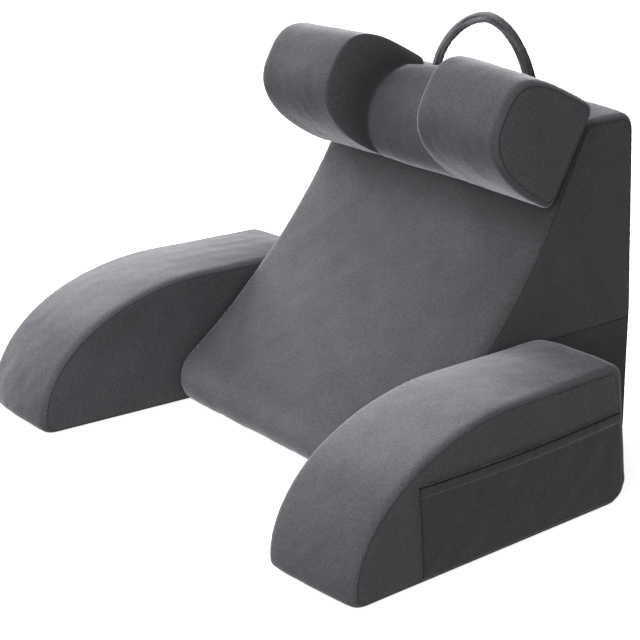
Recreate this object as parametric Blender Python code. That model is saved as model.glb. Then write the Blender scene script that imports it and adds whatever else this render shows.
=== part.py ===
"""Wedge reading pillow with two arms, a neck pillow, a carry handle and a side pocket.

Metres, +Z up. The sitter leans back against the wedge's slope, which faces -Y, with +X on their left.
The origin is on the floor, at the middle of the whole pillow's footprint.
"""
import math

import bmesh
import bpy
from mathutils import Vector

# ---- Driving dimensions -------------------------------------------------------------------

# Wedge, measured from the line where its front meets the floor.
# A draw says how far each face is drawn in at the side seams. A back rounding above 1 makes
# the edges at the back end roll over a longer way.
WEDGE_HALF_WIDTH = 0.225
WEDGE_TOP_NARROWING = 0.012
WEDGE_HEIGHT = 0.437
WEDGE_BACK = 0.366
NOSE_RADIUS = 0.048
NOSE_CENTRE = 0.010
LOW_SLOPE = math.radians(36.0)
HIGH_SLOPE = math.radians(61.1)
SLOPE_FOOT = (0.2116, 0.330)
TOP_CORNER_RADIUS = 0.020
BACK_CORNER_RADIUS = 0.018
WEDGE_DRAW = {"front": 0.006, "top": 0.005, "back": 0.004, "back_rounding": 1.0}

# Arms.
ARM_LENGTH = 0.440
ARM_HEIGHT = 0.1808
ARM_BACK_WIDTH = 0.134
ARM_FRONT_WIDTH = 0.146
ARM_CURVE_LENGTH = 0.255
ARM_HEEL = 0.018
ARM_TOE_RADIUS = 0.014
ARM_TOP_CORNER_RADIUS = 0.018
ARM_LOW_CORNER_RADIUS = 0.026
ARM_DRAW = {"front": 0.003, "top": 0.0018, "back": 0.003, "back_rounding": 1.8}
ARM_SPLAY = math.radians(2.8)
ARM_BACK = 0.208
ARM_SEAT_X = 0.2274

# Edges of the boxed cushions.
EDGE_RADIUS = 0.010
BOTTOM_EDGE_SHARE = 0.5
SEAM_TURN = 75
SEAM_HALF_TURN = 8
SEAM_DEPTH = 0.0012
PANEL_BULGE = 0.003
BAND_TURNS = (0, 30, 52)
BAND_STATIONS = (0.0, 0.35, 0.65, 0.88)
PANEL_STATIONS = (0.76, 0.5, 0.22)

# Neck pillow: heights run up the wedge's slope, depths stand out from it.
# The dips lower the saddle's top line, at its middle and at its ends. The bows raise the
# pillow's upper and lower lines at mid length, over those at its two ends.
PILLOW_HALF_LENGTH = 0.2290
PILLOW_RISE = 0.0795
PILLOW_STAND_OFF = 0.0004
LOBE_DEPTH = 0.1410
LOBE_HALF_HEIGHT = 0.0687
LOBE_CENTRE = -0.009
LOBE_START = 0.0890
SADDLE_DEPTH = 0.0670
SADDLE_DIP = 0.0070
SADDLE_END_DIP = 0.0140
SADDLE_END = 0.0785
UPPER_BOW = 0.0085
LOWER_BOW = 0.002
SADDLE_POWER = 2.0
UPPER_POWER = 3.5
LOWER_POWER = 2.5
PILLOW_BACK_RADIUS = 0.010
PILLOW_BACK_CROWN = 0.0015
SADDLE_STATIONS = (0.0, 0.45, 0.82)
WALL_STATIONS = (0.0, 0.17, 0.35, 0.53, 0.71, 0.90)
LOBE_STATIONS = (0.05, 0.32, 0.62, 0.86)
END_PANEL_STATIONS = (0.7, 0.35)

# Carry handle: its width lies in the arch's plane, and its thickness runs front to back.
# The strap narrows from its foot at +X to the far one, and flares where it is sewn down.
HANDLE_Y = 0.301
HANDLE_HALF_SPAN = 0.0905
HANDLE_RISE = 0.0884
HANDLE_ARCH_POWER = 1.74
HANDLE_LEAN = 0.0075
HANDLE_WIDTH = 0.0185
HANDLE_FAR_WIDTH = 0.010
HANDLE_FOOT_FLARE = 0.005
HANDLE_THICKNESS = 0.0095
HANDLE_FOOT_GAP = 0.0004
HANDLE_CORNER_POWER = 3.2
HANDLE_SIDES = 12
HANDLE_STEPS = 24

# Pocket, on the outer side of the arm at +X. Distances run from the arm's back end.
POCKET_BACK = 0.016
POCKET_CORNER_RADIUS = 0.020
POCKET_FRONT_TOP = 0.344
POCKET_FRONT_FOOT = 0.334
POCKET_FOOT = 0.007
POCKET_MOUTH_BACK = 0.1215
POCKET_MOUTH_SAG = 0.0022
POCKET_MOUTH_FRONT = 0.121
POCKET_THICKNESS = 0.0016
HEM_THICKNESS = 0.0026
HEM_SHARE = 0.10
POCKET_GAP = 0.0006
POCKET_MOUTH_GAP = 0.0018
HEM_STEP_SHARE = 0.02
POCKET_ROWS = (0.0, 0.03, 0.09, 0.17, 0.36, 0.58, 0.78, 1 - HEM_SHARE - HEM_STEP_SHARE, 1 - HEM_SHARE, 1.0)
POCKET_COLUMNS = 14

# Points along the outlines.
CORNER_STEPS = 3
NOSE_STEPS = 7
SLOPE_STEPS = 8
ARM_CURVE_STEPS = 9
ARM_LOW_CORNER_STEPS = 4
PILLOW_STEPS = 10

# One velour covers every piece.
CLOTH_COLOUR = (0.150, 0.148, 0.163)
CLOTH_ROUGHNESS = 0.9

# The footprint's middle, which is the model's origin.
MIDDLE_Y = 0.5 * (ARM_BACK - ARM_LENGTH + WEDGE_BACK)


# ---- Outlines -----------------------------------------------------------------------------

def arc(centre, radius, start, end, steps):
    """Points of an arc, both ends included."""
    points = []
    for step in range(steps + 1):
        angle = start + (end - start) * step / steps
        points.append((centre[0] + radius * math.cos(angle), centre[1] + radius * math.sin(angle)))
    return points


def between(start, end, count):
    """Points that divide a straight run evenly, both ends left out."""
    points = []
    for step in range(1, count + 1):
        share = step / (count + 1)
        points.append((start[0] + (end[0] - start[0]) * share, start[1] + (end[1] - start[1]) * share))
    return points


def bezier(start, control, end, steps):
    """Points of a quadratic curve after its start, its end left out."""
    points = []
    for step in range(1, steps):
        t = step / steps
        weights = ((1 - t) ** 2, 2 * t * (1 - t), t ** 2)
        points.append(tuple(
            weights[0] * start[k] + weights[1] * control[k] + weights[2] * end[k] for k in (0, 1)
        ))
    return points


def crossing(point_a, angle_a, point_b, angle_b):
    """Where two lines meet, each given by a point and a direction."""
    ax, az = math.cos(angle_a), math.sin(angle_a)
    bx, bz = math.cos(angle_b), math.sin(angle_b)
    dx, dz = point_b[0] - point_a[0], point_b[1] - point_a[1]
    run = (dx * bz - dz * bx) / (ax * bz - az * bx)
    return (point_a[0] + run * ax, point_a[1] + run * az)


def wedge_outline(front, top, back, bottom):
    """The wedge's side view, as (y, z), with each face drawn in by its own distance."""
    nose_radius = NOSE_RADIUS - front
    nose = (NOSE_CENTRE, bottom + nose_radius)
    points = arc(nose, nose_radius, math.radians(270), math.radians(90) + LOW_SLOPE, NOSE_STEPS)

    foot = (
        SLOPE_FOOT[0] + front * math.sin(HIGH_SLOPE),
        SLOPE_FOOT[1] - front * math.cos(HIGH_SLOPE),
    )
    bend = crossing(points[-1], LOW_SLOPE, foot, HIGH_SLOPE)
    points += bezier(points[-1], bend, foot, SLOPE_STEPS)
    points.append(foot)

    ceiling = WEDGE_HEIGHT - top
    corner = crossing(foot, HIGH_SLOPE, (0.0, ceiling), 0.0)
    reach = TOP_CORNER_RADIUS * math.tan(0.5 * HIGH_SLOPE)
    centre = (corner[0] + reach, ceiling - TOP_CORNER_RADIUS)
    fillet = arc(centre, TOP_CORNER_RADIUS, math.radians(90) + HIGH_SLOPE, math.radians(90), CORNER_STEPS)
    points += between(foot, fillet[0], count=2) + fillet

    rear = WEDGE_BACK - back
    radius = BACK_CORNER_RADIUS
    high = arc((rear - radius, ceiling - radius), radius, math.radians(90), 0.0, CORNER_STEPS)
    low = arc((rear - radius, bottom + radius), radius, 0.0, math.radians(-90), CORNER_STEPS)
    points += between(points[-1], high[0], count=1) + high
    points += between(high[-1], low[0], count=5) + low
    points += between(low[-1], points[0], count=4)
    return points


def arm_outline(front, top, back, bottom):
    """An arm's side view, as (y, z), with its back end at y = 0 and its toe towards -y."""
    toe = -(ARM_LENGTH - front)
    radius = ARM_TOE_RADIUS
    toe_centre = (toe + radius, bottom + radius)
    points = arc(toe_centre, radius, math.radians(270), math.radians(180), CORNER_STEPS)

    bend = -(ARM_LENGTH - ARM_CURVE_LENGTH)
    floor = bottom + radius
    rise = ARM_HEIGHT - top - floor
    for step in range(1, ARM_CURVE_STEPS + 1):
        angle = math.radians(90) * step / ARM_CURVE_STEPS
        points.append((bend + (toe - bend) * math.cos(angle), floor + rise * math.sin(angle)))

    rear = -back
    ceiling = ARM_HEIGHT - top
    tilt = math.atan2(ARM_HEEL, ARM_HEIGHT)
    high_radius = ARM_TOP_CORNER_RADIUS
    low_radius = ARM_LOW_CORNER_RADIUS
    high_centre = (rear - high_radius, ceiling - high_radius)
    low_centre = (rear + ARM_HEEL - low_radius, bottom + low_radius)
    high = arc(high_centre, high_radius, math.radians(90), tilt, CORNER_STEPS)
    low = arc(low_centre, low_radius, tilt, math.radians(-90), ARM_LOW_CORNER_STEPS)
    points += between(points[-1], high[0], count=3) + high
    points += between(high[-1], low[0], count=2) + low
    points += between(low[-1], points[0], count=4)
    return points


def pillow_outline(depth, fullness, inset, bow, dip):
    """The neck pillow's section, as (height up the slope, depth off it)."""
    upper, lower = [], []
    highest = LOBE_CENTRE + LOBE_HALF_HEIGHT + bow * UPPER_BOW - dip
    lowest = LOBE_CENTRE - LOBE_HALF_HEIGHT + bow * LOWER_BOW
    rim = 0.5 * (highest - lowest) - inset
    centre = 0.5 * (highest + lowest)
    upper_power = SADDLE_POWER + (UPPER_POWER - SADDLE_POWER) * fullness
    lower_power = SADDLE_POWER + (LOWER_POWER - SADDLE_POWER) * fullness
    top_depth = depth - inset
    back = inset - bow * PILLOW_BACK_CROWN
    start = back + PILLOW_BACK_RADIUS
    for step in range(PILLOW_STEPS + 1):
        angle = math.radians(90) * step / PILLOW_STEPS
        cosine = max(math.cos(angle), 0.0)
        sine = math.sin(angle)
        for side, power, run in ((1, upper_power, upper), (-1, lower_power, lower)):
            across = rim * cosine ** (2 / power)
            run.append((centre + side * across, start + (top_depth - start) * sine ** (2 / power)))
    high_end = (centre + rim - PILLOW_BACK_RADIUS, start)
    low_end = (centre - rim + PILLOW_BACK_RADIUS, start)
    high = arc(high_end, PILLOW_BACK_RADIUS, math.radians(-90), 0.0, CORNER_STEPS)
    low = arc(low_end, PILLOW_BACK_RADIUS, math.radians(180), math.radians(270), CORNER_STEPS)
    ring = high[:-1] + upper + lower[::-1][1:] + low[1:]
    return ring + between(ring[-1], ring[0], count=3)


# ---- Solids -------------------------------------------------------------------------------

def make_material(name):
    material = bpy.data.materials.new(name)
    material.use_nodes = True
    shader = material.node_tree.nodes["Principled BSDF"]
    shader.inputs["Base Color"].default_value = (*CLOTH_COLOUR, 1.0)
    shader.inputs["Roughness"].default_value = CLOTH_ROUGHNESS
    shader.inputs["Metallic"].default_value = 0.0
    return material


def add_object(name, mesh_builder):
    """Turn a bmesh into a named object with its own material."""
    bmesh.ops.recalc_face_normals(mesh_builder, faces=mesh_builder.faces)
    mesh = bpy.data.meshes.new(name)
    mesh_builder.to_mesh(mesh)
    mesh_builder.free()
    mesh.shade_smooth()
    mesh.materials.append(make_material(name + "_cloth"))
    piece = bpy.data.objects.new(name, mesh)
    bpy.context.scene.collection.objects.link(piece)
    return piece


def skin(rings, ends=None):
    """Join a row of equal closed rings into one closed skin, with a fan to each end point."""
    builder = bmesh.new()
    rows = [[builder.verts.new(point) for point in ring] for ring in rings]
    count = len(rows[0])
    for row, following in zip(rows, rows[1:]):
        for k in range(count):
            after = (k + 1) % count
            builder.faces.new((row[k], row[after], following[after], following[k]))
    if ends is None:
        builder.faces.new(rows[0])
        builder.faces.new(rows[-1][::-1])
        return builder
    for row, end in ((rows[0], ends[0]), (rows[-1], ends[1])):
        tip = builder.verts.new(end)
        for k in range(count):
            builder.faces.new((row[k], row[(k + 1) % count], tip))
    return builder


def panel_bulge(y, z, box):
    """How far a side panel swells out at (y, z): most in the middle of its box."""
    (low_y, low_z), (high_y, high_z) = box
    along = 2 * (y - low_y) / (high_y - low_y) - 1
    up = 2 * (z - low_z) / (high_z - low_z) - 1
    return PANEL_BULGE * max(1 - along ** 2, 0.0) * max(1 - up ** 2, 0.0)


def outline_box(outline):
    """An outline's lowest and highest corners."""
    low = tuple(min(point[k] for point in outline) for k in (0, 1))
    high = tuple(max(point[k] for point in outline) for k in (0, 1))
    return low, high


def edge_turns():
    """Turns round a cushion's edge, from the band to the side panel, with the seam sunk between."""
    turns = [(turn, EDGE_RADIUS) for turn in (*BAND_TURNS, SEAM_TURN - SEAM_HALF_TURN)]
    turns.append((SEAM_TURN, EDGE_RADIUS - SEAM_DEPTH))
    turns += [(turn, EDGE_RADIUS) for turn in (SEAM_TURN + SEAM_HALF_TURN, 90)]
    return [(math.radians(turn), radius) for turn, radius in turns]


def drawn_outline(outline_of, draw, share, inset):
    """An outline with its faces drawn in by a share of their full draw, and all of it inset."""
    return outline_of(
        draw["front"] * share + inset,
        draw["top"] * share + inset,
        draw["back"] * share + inset * draw["back_rounding"],
        BOTTOM_EDGE_SHARE * inset,
    )


def boxed_cushion(outline_of, draw, half_width_at):
    """A cushion with a band round its outline, two side panels and a sunk seam on each panel."""
    rim = drawn_outline(outline_of, draw, 1.0, EDGE_RADIUS)
    box = outline_box(rim)
    half = []
    for share in BAND_STATIONS:
        points = drawn_outline(outline_of, draw, share ** 2, 0.0)
        half.append([(share * (half_width_at(y, z) - EDGE_RADIUS), y, z) for y, z in points])
    for turn, radius in edge_turns():
        across, out = radius * math.cos(turn), radius * math.sin(turn)
        half.append([
            (half_width_at(y, z) - EDGE_RADIUS + out + math.sin(turn) * panel_bulge(y, z, box), y, z)
            for y, z in drawn_outline(outline_of, draw, 1.0, EDGE_RADIUS - across)
        ])
    middle = tuple(sum(point[k] for point in rim) / len(rim) for k in (0, 1))
    for share in PANEL_STATIONS:
        points = [tuple(middle[k] + share * (point[k] - middle[k]) for k in (0, 1)) for point in rim]
        half.append([(half_width_at(y, z) + panel_bulge(y, z, box), y, z) for y, z in points])

    mirrored = [[(-x, y, z) for x, y, z in ring] for ring in half[:0:-1]]
    tip = half_width_at(*middle) + panel_bulge(*middle, box)
    ends = [(side * tip, *middle) for side in (-1, 1)]
    return skin(mirrored + half, ends)


def wedge_half_width(_, z):
    """Full between the arms, and narrower towards the wedge's top."""
    above_arms = max(z - ARM_HEIGHT, 0.0) / (WEDGE_HEIGHT - ARM_HEIGHT)
    return WEDGE_HALF_WIDTH - WEDGE_TOP_NARROWING * above_arms


def arm_half_width(y, _):
    """Wider towards the toe."""
    return 0.5 * (ARM_BACK_WIDTH + (ARM_FRONT_WIDTH - ARM_BACK_WIDTH) * -y / ARM_LENGTH)


def build_wedge():
    wedge = add_object("wedge_body", boxed_cushion(wedge_outline, WEDGE_DRAW, wedge_half_width))
    wedge.location = (0.0, -MIDDLE_Y, 0.0)


def build_arm(name, side):
    arm = add_object(name, boxed_cushion(arm_outline, ARM_DRAW, arm_half_width))
    arm.location = (side * (ARM_SEAT_X + 0.5 * ARM_BACK_WIDTH), ARM_BACK - MIDDLE_Y, 0.0)
    arm.rotation_euler = (0.0, 0.0, side * ARM_SPLAY)
    return arm


def lobe_share(x):
    """0 in the saddle and 1 in the lobes, with a steep rounded wall between them."""
    share = min(max((abs(x) - SADDLE_END) / (LOBE_START - SADDLE_END), 0.0), 1.0)
    return share * share * (3 - 2 * share)


def build_neck_pillow():
    """Two fat lobes joined by a thin saddle, laid flat against the top of the slope."""
    def ring(x, inset, out):
        fullness = lobe_share(x)
        depth = SADDLE_DEPTH + (LOBE_DEPTH - SADDLE_DEPTH) * fullness
        bow = 1 - (x / PILLOW_HALF_LENGTH) ** 2
        dip = SADDLE_DIP + (SADDLE_END_DIP - SADDLE_DIP) * min(abs(x) / SADDLE_END, 1.0) ** 2
        outline = pillow_outline(depth, fullness, inset, bow, dip * (1 - fullness))
        return [(out, rise, off) for rise, off in outline]

    edge_start = PILLOW_HALF_LENGTH - EDGE_RADIUS
    stations = [share * SADDLE_END for share in SADDLE_STATIONS]
    stations += [SADDLE_END + share * (LOBE_START - SADDLE_END) for share in WALL_STATIONS]
    stations += [LOBE_START + share * (edge_start - LOBE_START) for share in LOBE_STATIONS]
    half = [ring(x, 0.0, x) for x in stations]
    for turn, radius in edge_turns():
        out = edge_start + radius * math.sin(turn)
        half.append(ring(out, EDGE_RADIUS - radius * math.cos(turn), out))
    rim = half[-1]
    middle = Vector((0.0, LOBE_CENTRE, 0.5 * LOBE_DEPTH))
    for share in END_PANEL_STATIONS:
        swell = PANEL_BULGE * (1 - share ** 2)
        half.append([
            (
                PILLOW_HALF_LENGTH + swell,
                middle.y + share * (point[1] - middle.y),
                middle.z + share * (point[2] - middle.z),
            )
            for point in rim
        ])
    mirrored = [[(-x, y, z) for x, y, z in loop] for loop in half[:0:-1]]
    tip = PILLOW_HALF_LENGTH + PANEL_BULGE
    ends = [(side * tip, middle.y, middle.z) for side in (-1, 1)]
    pillow = add_object("neck_pillow", skin(mirrored + half, ends))

    stand_off = PILLOW_BACK_CROWN + PILLOW_STAND_OFF
    pillow.location = (
        0.0,
        SLOPE_FOOT[0] + PILLOW_RISE * math.cos(HIGH_SLOPE) - stand_off * math.sin(HIGH_SLOPE) - MIDDLE_Y,
        SLOPE_FOOT[1] + PILLOW_RISE * math.sin(HIGH_SLOPE) + stand_off * math.cos(HIGH_SLOPE),
    )
    pillow.rotation_euler = (HIGH_SLOPE, 0.0, 0.0)


def build_handle():
    """A padded strap that stands in an arch on the wedge's top."""
    foot_drop = WEDGE_DRAW["top"] * (HANDLE_HALF_SPAN / (WEDGE_HALF_WIDTH - WEDGE_TOP_NARROWING)) ** 2
    foot = WEDGE_HEIGHT - foot_drop + HANDLE_FOOT_GAP
    rings = []
    for step in range(HANDLE_STEPS + 1):
        angle = math.radians(180) * step / HANDLE_STEPS
        cosine, sine = math.cos(angle), max(math.sin(angle), 0.0)
        side = math.copysign(1.0, cosine)
        along = side * abs(cosine) ** (2 / HANDLE_ARCH_POWER)
        up = sine ** (2 / HANDLE_ARCH_POWER)
        lean = HANDLE_LEAN * sine ** 2
        centre = Vector((HANDLE_HALF_SPAN * along + lean, 0.0, HANDLE_RISE * up))
        slant = 2 - 2 / HANDLE_ARCH_POWER
        outward = Vector((
            side * abs(cosine) ** slant / HANDLE_HALF_SPAN,
            0.0,
            sine ** slant / HANDLE_RISE,
        )).normalized()
        width = HANDLE_WIDTH + (HANDLE_FAR_WIDTH - HANDLE_WIDTH) * step / HANDLE_STEPS
        width += HANDLE_FOOT_FLARE * (1 - sine) ** 3
        loop = []
        for k in range(HANDLE_SIDES):
            turn = 2 * math.pi * (k + 0.5) / HANDLE_SIDES
            power = HANDLE_CORNER_POWER
            reach = (abs(math.cos(turn)) ** power + abs(math.sin(turn)) ** power) ** (-1 / power)
            across = 0.5 * HANDLE_THICKNESS * reach * math.cos(turn)
            out = 0.5 * width * reach * math.sin(turn)
            loop.append(centre + outward * out + Vector((0.0, across, 0.0)))
        rings.append(loop)
    handle = add_object("carry_handle", skin(rings))
    handle.location = (0.0, HANDLE_Y - MIDDLE_Y, foot)


def pocket_rear(z):
    """Where the pocket's back edge is at height z: by the arm's back seam, round its low corner."""
    rear = POCKET_BACK - ARM_HEEL * (1 - z / ARM_HEIGHT)
    drop = max(POCKET_FOOT + POCKET_CORNER_RADIUS - z, 0.0)
    return rear + POCKET_CORNER_RADIUS - math.sqrt(POCKET_CORNER_RADIUS ** 2 - drop ** 2)


def pocket_point(up, along, layer, box):
    """A point of the pocket's inner (0) or outer (1) layer, by its shares up and along the panel."""
    front = POCKET_FRONT_FOOT + (POCKET_FRONT_TOP - POCKET_FRONT_FOOT) * up
    mouth = POCKET_MOUTH_BACK + (POCKET_MOUTH_FRONT - POCKET_MOUTH_BACK) * along
    mouth -= POCKET_MOUTH_SAG * math.sin(math.pi * along)
    z = POCKET_FOOT + (mouth - POCKET_FOOT) * up
    rear = pocket_rear(z)
    y = -(rear + (front - rear) * along)
    gap = POCKET_GAP + POCKET_MOUTH_GAP * up ** 3 * math.sin(math.pi * along)
    thickness = HEM_THICKNESS if up >= 1 - HEM_SHARE else POCKET_THICKNESS
    return arm_half_width(y, z) + panel_bulge(y, z, box) + gap + layer * thickness, y, z


def build_pocket(arm):
    """A hemmed panel, sewn to the arm's outer side on three edges and open along its top."""
    box = outline_box(drawn_outline(arm_outline, ARM_DRAW, 1.0, EDGE_RADIUS))
    builder = bmesh.new()
    grid = {}
    for layer in (0, 1):
        for j, up in enumerate(POCKET_ROWS):
            for i in range(POCKET_COLUMNS + 1):
                along = i / POCKET_COLUMNS
                grid[layer, i, j] = builder.verts.new(pocket_point(up, along, layer, box))
    last = len(POCKET_ROWS) - 1
    for layer in (0, 1):
        for j in range(last):
            for i in range(POCKET_COLUMNS):
                corners = [grid[layer, i, j], grid[layer, i + 1, j]]
                corners += [grid[layer, i + 1, j + 1], grid[layer, i, j + 1]]
                builder.faces.new(corners)
    for i in range(POCKET_COLUMNS):
        for j in (0, last):
            builder.faces.new((grid[0, i, j], grid[0, i + 1, j], grid[1, i + 1, j], grid[1, i, j]))
    for j in range(last):
        for i in (0, POCKET_COLUMNS):
            builder.faces.new((grid[0, i, j], grid[0, i, j + 1], grid[1, i, j + 1], grid[1, i, j]))
    pocket = add_object("pocket_panel", builder)
    pocket.parent = arm


def build_all():
    for old in list(bpy.data.objects):
        bpy.data.objects.remove(old, do_unlink=True)
    build_wedge()
    build_arm("arm_right", -1)
    build_pocket(build_arm("arm_left", 1))
    build_neck_pillow()
    build_handle()


build_all()
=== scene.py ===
"""Looks of a wedge reading pillow: velour cushions filled by simulation, sewn seams, a hemmed
pocket and a padded handle, on a pale floor in soft studio light. Metres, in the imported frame.

The sitter faces -Y, so the left arm, which carries the pocket, is the one at +X.
"""
import math

import bmesh
import bpy
import numpy as np
from mathutils import Matrix, Vector
from mathutils.bvhtree import BVHTree
from mathutils.kdtree import KDTree


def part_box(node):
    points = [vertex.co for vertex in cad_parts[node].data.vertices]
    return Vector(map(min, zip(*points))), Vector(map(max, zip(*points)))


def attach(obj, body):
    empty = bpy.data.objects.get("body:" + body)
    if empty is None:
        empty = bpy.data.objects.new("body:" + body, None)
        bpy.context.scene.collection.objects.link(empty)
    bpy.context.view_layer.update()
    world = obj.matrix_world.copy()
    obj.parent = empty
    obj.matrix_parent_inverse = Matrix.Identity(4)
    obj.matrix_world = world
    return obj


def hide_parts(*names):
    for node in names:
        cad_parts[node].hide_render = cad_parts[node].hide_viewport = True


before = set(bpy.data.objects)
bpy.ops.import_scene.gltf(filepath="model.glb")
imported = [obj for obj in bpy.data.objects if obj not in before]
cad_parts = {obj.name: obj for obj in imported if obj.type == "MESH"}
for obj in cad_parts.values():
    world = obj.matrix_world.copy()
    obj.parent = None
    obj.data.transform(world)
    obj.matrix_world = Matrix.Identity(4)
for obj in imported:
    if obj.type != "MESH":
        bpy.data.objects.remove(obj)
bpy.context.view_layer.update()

BODY = "root"

# ---- Sizes ------------------------------------------------

# Wedge, measured from the line where its front meets the floor.
WEDGE_HALF_WIDTH = 0.225
WEDGE_TOP_NARROWING = 0.012
WEDGE_HEIGHT = 0.437
WEDGE_BACK = 0.366
NOSE_RADIUS = 0.048
NOSE_CENTRE = 0.010
LOW_SLOPE = math.radians(36.0)
HIGH_SLOPE = math.radians(61.1)
SLOPE_FOOT = np.array((0.2116, 0.330))
TOP_CORNER_RADIUS = 0.020
BACK_CORNER_RADIUS = 0.018
WEDGE_DRAW = {"front": 0.006, "top": 0.005, "back": 0.004, "back_rounding": 1.0}
BASE_SEAM_HEIGHT = 0.169

# Arms.
ARM_LENGTH = 0.440
ARM_HEIGHT = 0.1808
ARM_BACK_WIDTH = 0.134
ARM_FRONT_WIDTH = 0.146
ARM_CURVE_LENGTH = 0.255
ARM_HEEL = 0.018
ARM_TOE_RADIUS = 0.014
ARM_TOP_CORNER_RADIUS = 0.018
ARM_LOW_CORNER_RADIUS = 0.026
ARM_DRAW = {"front": 0.003, "top": 0.0018, "back": 0.003, "back_rounding": 1.8}
ARM_SPLAY = math.radians(2.8)
ARM_BACK = 0.208
ARM_SEAT_X = 0.2274

# Edges of the cushions: a quarter turn in steps of some degrees, with the seam at one of them.
EDGE_RADIUS = 0.010
BOTTOM_EDGE_SHARE = 0.5
EDGE_TURNS = (0, 20, 40, 55, 66, 71.5, 75, 78.5, 84, 90)
SEAM_TURN = 75
SEAM_DEPTH = 0.0018
PANEL_BULGE = 0.003

# Neck pillow: heights run up the wedge's slope, depths stand out from it.
PILLOW_HALF_LENGTH = 0.2290
PILLOW_RISE = 0.0795
PILLOW_STAND_OFF = 0.0004
LOBE_DEPTH = 0.1410
LOBE_HALF_HEIGHT = 0.0687
LOBE_CENTRE = -0.009
LOBE_START = 0.0890
SADDLE_DEPTH = 0.0670
SADDLE_DIP = 0.0070
SADDLE_END_DIP = 0.0140
SADDLE_END = 0.0785
UPPER_BOW = 0.0085
LOWER_BOW = 0.002
SADDLE_POWER = 2.0
UPPER_POWER = 3.5
LOWER_POWER = 2.5
PILLOW_BACK_RADIUS = 0.010
PILLOW_BACK_CROWN = 0.0015

# Carry handle: its width lies in the arch's plane, and its thickness runs front to back.
HANDLE_HALF_SPAN = 0.0905
HANDLE_RISE = 0.0884
HANDLE_ARCH_POWER = 1.74
HANDLE_LEAN = 0.0075
HANDLE_WIDTH = 0.0185
HANDLE_FAR_WIDTH = 0.010
HANDLE_FOOT_FLARE = 0.005
HANDLE_THICKNESS = 0.0095
HANDLE_CORNER_POWER = 3.2

# Pocket, on the outer side of the arm at +X. Distances run from the arm's back end.
POCKET_BACK = 0.016
POCKET_CORNER_RADIUS = 0.020
POCKET_FRONT_TOP = 0.344
POCKET_FRONT_FOOT = 0.334
POCKET_FOOT = 0.007
POCKET_MOUTH_BACK = 0.1215
POCKET_MOUTH_SAG = 0.0022
POCKET_MOUTH_FRONT = 0.121
POCKET_THICKNESS = 0.0016
HEM_THICKNESS = 0.0027
HEM_FOLD = 0.90  # share of the panel's height
POCKET_GAP = 0.0006
POCKET_MOUTH_GAP = 0.0018

wedge_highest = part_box("wedge_body")[1]
MIDDLE_Y = WEDGE_BACK - wedge_highest.y

# ---- Fields and mesh points -------------------------------

WAVES = 14
WAVE_SIZES = (0.7, 1.5)


def ramp(values, low, high):
    """0 below low and 1 above high, with a smooth rise between them."""
    share = np.clip((values - low) / (high - low), 0.0, 1.0)
    return share * share * (3 - 2 * share)


def bell(values, middle, width):
    """1 at the middle, falling smoothly to almost nothing two widths away."""
    return np.exp(-((values - middle) / width) ** 2)


def waves(points, size, seed):
    """An uneven field of about unit height, with bumps of about that size. The seed fixes it."""
    random = np.random.default_rng(seed)
    total = np.zeros(len(points))
    for _ in range(WAVES):
        aim = random.normal(size=points.shape[1])
        aim *= 2 * math.pi / (size * random.uniform(*WAVE_SIZES)) / np.linalg.norm(aim)
        total += np.cos(points @ aim + random.uniform(0.0, 2 * math.pi))
    return total / math.sqrt(WAVES / 2)


def read_points(mesh):
    points = np.empty(len(mesh.vertices) * 3)
    mesh.vertices.foreach_get("co", points)
    return points.reshape(-1, 3)


def read_normals(mesh):
    normals = np.empty(len(mesh.vertices) * 3)
    mesh.vertex_normals.foreach_get("vector", normals)
    return normals.reshape(-1, 3)


def write_points(mesh, points):
    mesh.vertices.foreach_set("co", points.ravel())
    mesh.update()


def shade_points(mesh, shade):
    """Store how light each point is drawn, painted light and shade included."""
    layer = mesh.color_attributes.new("shade", "FLOAT_COLOR", "POINT")
    colours = np.ones((len(shade), 4))
    colours[:, :3] = shade[:, None]
    layer.data.foreach_set("color", colours.ravel())


# ---- Outlines: closed lines of (y, z) with the four corners marked ----

DENSE = 40


def arc(centre, radius, start, end):
    """Points of an arc between two angles in degrees, its end left out."""
    turn = np.radians(np.linspace(start, end, DENSE, endpoint=False))
    return np.column_stack((centre[0] + radius * np.cos(turn), centre[1] + radius * np.sin(turn)))


def straight(start, end):
    """Points of a straight run, its end left out."""
    share = np.linspace(0.0, 1.0, DENSE, endpoint=False)[:, None]
    return np.asarray(start) * (1 - share) + np.asarray(end) * share


def bezier(start, control, end):
    """Points of a quadratic curve, its end left out."""
    t = np.linspace(0.0, 1.0, 2 * DENSE, endpoint=False)[:, None]
    return (1 - t) ** 2 * np.asarray(start) + 2 * t * (1 - t) * np.asarray(control) + t ** 2 * np.asarray(end)


def direction(angle):
    return np.array((math.cos(angle), math.sin(angle)))


def crossing(point_a, angle_a, point_b, angle_b):
    """Where two lines meet, each given by a point and a direction."""
    a = direction(angle_a)
    b = direction(angle_b)
    gap = np.asarray(point_b) - np.asarray(point_a)
    run = (gap[0] * b[1] - gap[1] * b[0]) / (a[0] * b[1] - a[1] * b[0])
    return np.asarray(point_a) + run * a


def closed_line(parts, corners):
    """Join runs into one closed line that starts at its first corner.

    corners holds (run number, share of the way along it), in the line's order.
    """
    starts = np.cumsum([0] + [len(part) for part in parts])
    marks = [int(starts[run] + share * len(parts[run])) for run, share in corners]
    points = np.roll(np.vstack(parts), -marks[0], axis=0)
    return points, [(mark - marks[0]) % len(points) for mark in marks]


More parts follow.
